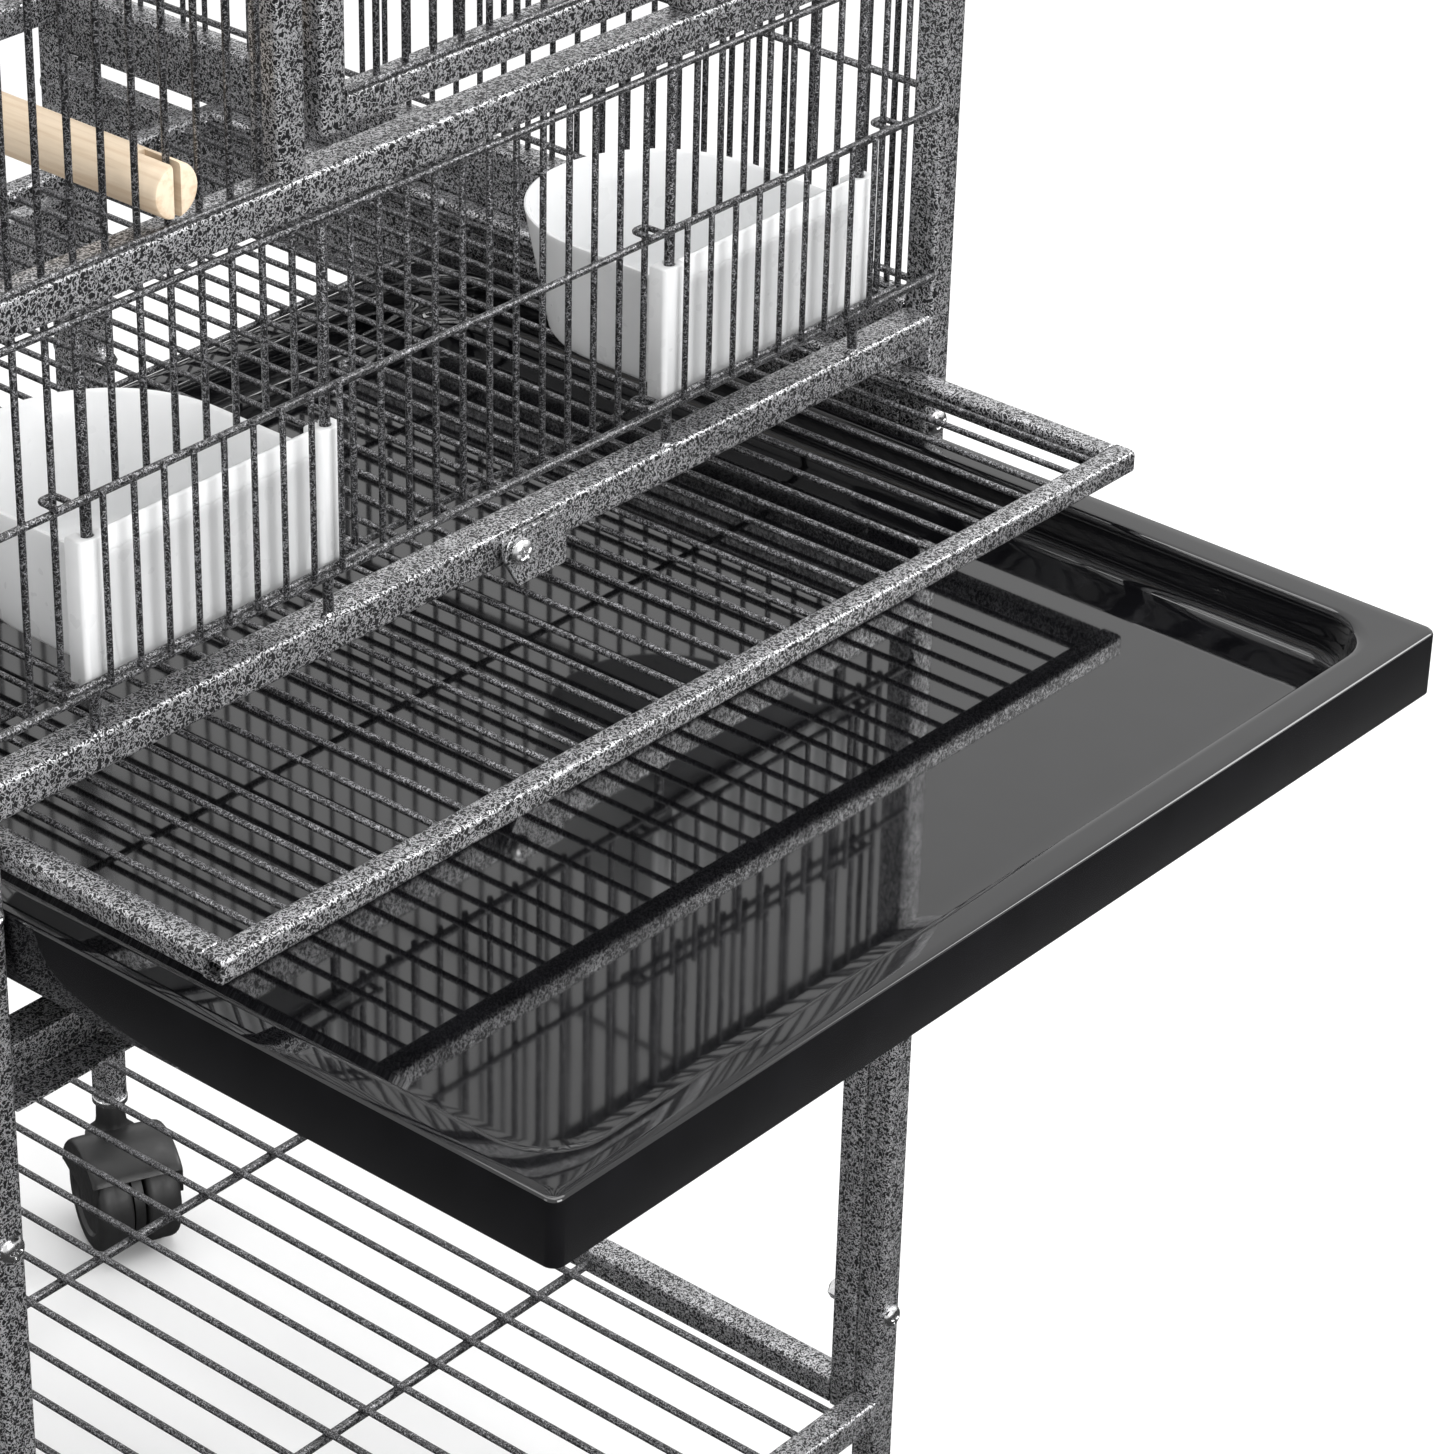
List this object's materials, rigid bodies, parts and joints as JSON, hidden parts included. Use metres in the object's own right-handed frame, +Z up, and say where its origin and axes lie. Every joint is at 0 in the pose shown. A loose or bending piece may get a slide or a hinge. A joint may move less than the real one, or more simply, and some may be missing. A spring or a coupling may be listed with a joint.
{
  "type": "bird cage on stand",
  "caption": "Tall square wire bird cage on a wheeled stand with a lower shelf, pull-out black tray, grate, lift-out feeder cups, sliding feeder doors, front door and perch.",
  "frame": {"origin": "on the floor under the middle of the cage", "axes": "+Z up, -Y out of the front where the door, tray and grate are, +X to the right seen from the front"},
  "size_m": [0.495, 0.6683, 1.32],
  "materials": {
    "frame_coat": "silver and black hammered powder coat, half gloss",
    "wire_coat": "dark silver vein powder coat, half gloss",
    "tray_black": "glossy black",
    "cup_white": "milky white, slightly see-through",
    "perch_wood": "pale, fine sanded",
    "bright_steel": "bright zinc plating",
    "caster_plastic": "black, satin",
    "wheel_plastic": "black, satin"
  },
  "bodies": {
    "cage_frame": {"post_front_left": "frame_coat", "post_front_right": "frame_coat", "post_rear_left": "frame_coat", "post_rear_right": "frame_coat", "stand_leg_front_left": "frame_coat", "stand_leg_front_right": "frame_coat", "stand_leg_rear_left": "frame_coat", "stand_leg_rear_right": "frame_coat", "front_rail_top": "frame_coat", "front_rail_over_door": "frame_coat", "front_rail_middle": "frame_coat", "front_rail_bottom": "frame_coat", "front_base_channel": "frame_coat", "door_jamb_left": "frame_coat", "door_jamb_right": "frame_coat", "back_rail_top": "frame_coat", "back_rail_bottom": "frame_coat", "back_base_channel": "frame_coat", "side_rail_top_left": "frame_coat", "side_rail_top_right": "frame_coat", "side_rail_base_left": "frame_coat", "side_rail_base_right": "frame_coat", "grate_runner_left": "frame_coat", "grate_runner_right": "frame_coat", "tray_runner_left": "frame_coat", "tray_runner_right": "frame_coat", "shelf_frame": "frame_coat", "shelf_wires": "wire_coat", "front_wires_left": "wire_coat", "front_wires_right": "wire_coat", "front_wires_over_door": "wire_coat", "feeder_grille": "wire_coat", "side_wires_left": "wire_coat", "side_wires_right": "wire_coat", "back_wires": "wire_coat", "roof_wires": "wire_coat", "perch": "perch_wood", "frame_bolts": "bright_steel", "frame_nuts": "bright_steel", "pivot_screws": "bright_steel", "hinge_pins": "frame_coat", "caster_stems": "bright_steel"},
    "grate": {"grate": "frame_coat"},
    "tray": {"tray": "tray_black"},
    "latch_plate": {"latch_plate": "frame_coat"},
    "front_door": {"front_door": "frame_coat"},
    "door_latch": {"door_latch": "frame_coat"},
    "feeder_door_left": {"feeder_door_left": "wire_coat"},
    "feeder_door_right": {"feeder_door_right": "wire_coat"},
    "feeder_cup_left": {"feeder_cup_left": "cup_white"},
    "feeder_cup_right": {"feeder_cup_right": "cup_white"},
    "caster_hood_front_left": {"caster_hood_front_left": "caster_plastic"},
    "caster_hood_front_right": {"caster_hood_front_right": "caster_plastic"},
    "caster_hood_rear_left": {"caster_hood_rear_left": "caster_plastic"},
    "caster_hood_rear_right": {"caster_hood_rear_right": "caster_plastic"},
    "caster_wheels_front_left": {"caster_wheels_front_left": "wheel_plastic"},
    "caster_wheels_front_right": {"caster_wheels_front_right": "wheel_plastic"},
    "caster_wheels_rear_left": {"caster_wheels_rear_left": "wheel_plastic"},
    "caster_wheels_rear_right": {"caster_wheels_rear_right": "wheel_plastic"}
  },
  "joints": [
    {"name": "tray_slide", "type": "slide", "parent": "cage_frame", "child": "tray", "axis": [0, -1, 0], "range_m": [-0.208, 0.12]},
    {"name": "grate_slide", "type": "slide", "parent": "cage_frame", "child": "grate", "axis": [0, -1, 0], "range_m": [-0.086, 0.2]},
    {"name": "latch_plate_turn", "type": "hinge", "parent": "cage_frame", "child": "latch_plate", "pos_m": [0, -0.2258, 0.585], "axis": [0, 1, 0], "range_deg": [-180, 0]},
    {"name": "front_door_hinge", "type": "hinge", "parent": "cage_frame", "child": "front_door", "pos_m": [0.08125, -0.225, 0.9], "axis": [0, 0, 1], "range_deg": [0, 110]},
    {"name": "door_latch_turn", "type": "hinge", "parent": "cage_frame", "child": "door_latch", "pos_m": [-0.09025, -0.2258, 0.905], "axis": [0, -1, 0], "range_deg": [0, 90]},
    {"name": "feeder_door_left_slide", "type": "slide", "parent": "cage_frame", "child": "feeder_door_left", "axis": [0, 0, 1], "range_m": [0, 0.045]},
    {"name": "feeder_door_right_slide", "type": "slide", "parent": "cage_frame", "child": "feeder_door_right", "axis": [0, 0, 1], "range_m": [0, 0.045]},
    {"name": "feeder_cup_left_slide", "type": "slide", "parent": "cage_frame", "child": "feeder_cup_left", "axis": [0, 0, 1], "range_m": [0, 0.011]},
    {"name": "feeder_cup_right_slide", "type": "slide", "parent": "cage_frame", "child": "feeder_cup_right", "axis": [0, 0, 1], "range_m": [0, 0.011]},
    {"name": "caster_swivel_front_left", "type": "hinge", "parent": "cage_frame", "child": "caster_hood_front_left", "pos_m": [-0.21825, -0.217, 0.06], "axis": [0, 0, 1], "continuous": true},
    {"name": "caster_roll_front_left", "type": "hinge", "parent": "caster_hood_front_left", "child": "caster_wheels_front_left", "pos_m": [-0.22543, -0.23241, 0.025], "axis": [0.9063, -0.4226, 0], "continuous": true},
    {"name": "caster_swivel_front_right", "type": "hinge", "parent": "cage_frame", "child": "caster_hood_front_right", "pos_m": [0.21825, -0.217, 0.06], "axis": [0, 0, 1], "continuous": true},
    {"name": "caster_roll_front_right", "type": "hinge", "parent": "caster_hood_front_right", "child": "caster_wheels_front_right", "pos_m": [0.21107, -0.23241, 0.025], "axis": [0.9063, -0.4226, 0], "continuous": true},
    {"name": "caster_swivel_rear_left", "type": "hinge", "parent": "cage_frame", "child": "caster_hood_rear_left", "pos_m": [-0.21825, 0.217, 0.06], "axis": [0, 0, 1], "continuous": true},
    {"name": "caster_roll_rear_left", "type": "hinge", "parent": "caster_hood_rear_left", "child": "caster_wheels_rear_left", "pos_m": [-0.22543, 0.20159, 0.025], "axis": [0.9063, -0.4226, 0], "continuous": true},
    {"name": "caster_swivel_rear_right", "type": "hinge", "parent": "cage_frame", "child": "caster_hood_rear_right", "pos_m": [0.21825, 0.217, 0.06], "axis": [0, 0, 1], "continuous": true},
    {"name": "caster_roll_rear_right", "type": "hinge", "parent": "caster_hood_rear_right", "child": "caster_wheels_rear_right", "pos_m": [0.21107, 0.20159, 0.025], "axis": [0.9063, -0.4226, 0], "continuous": true}
  ]
}
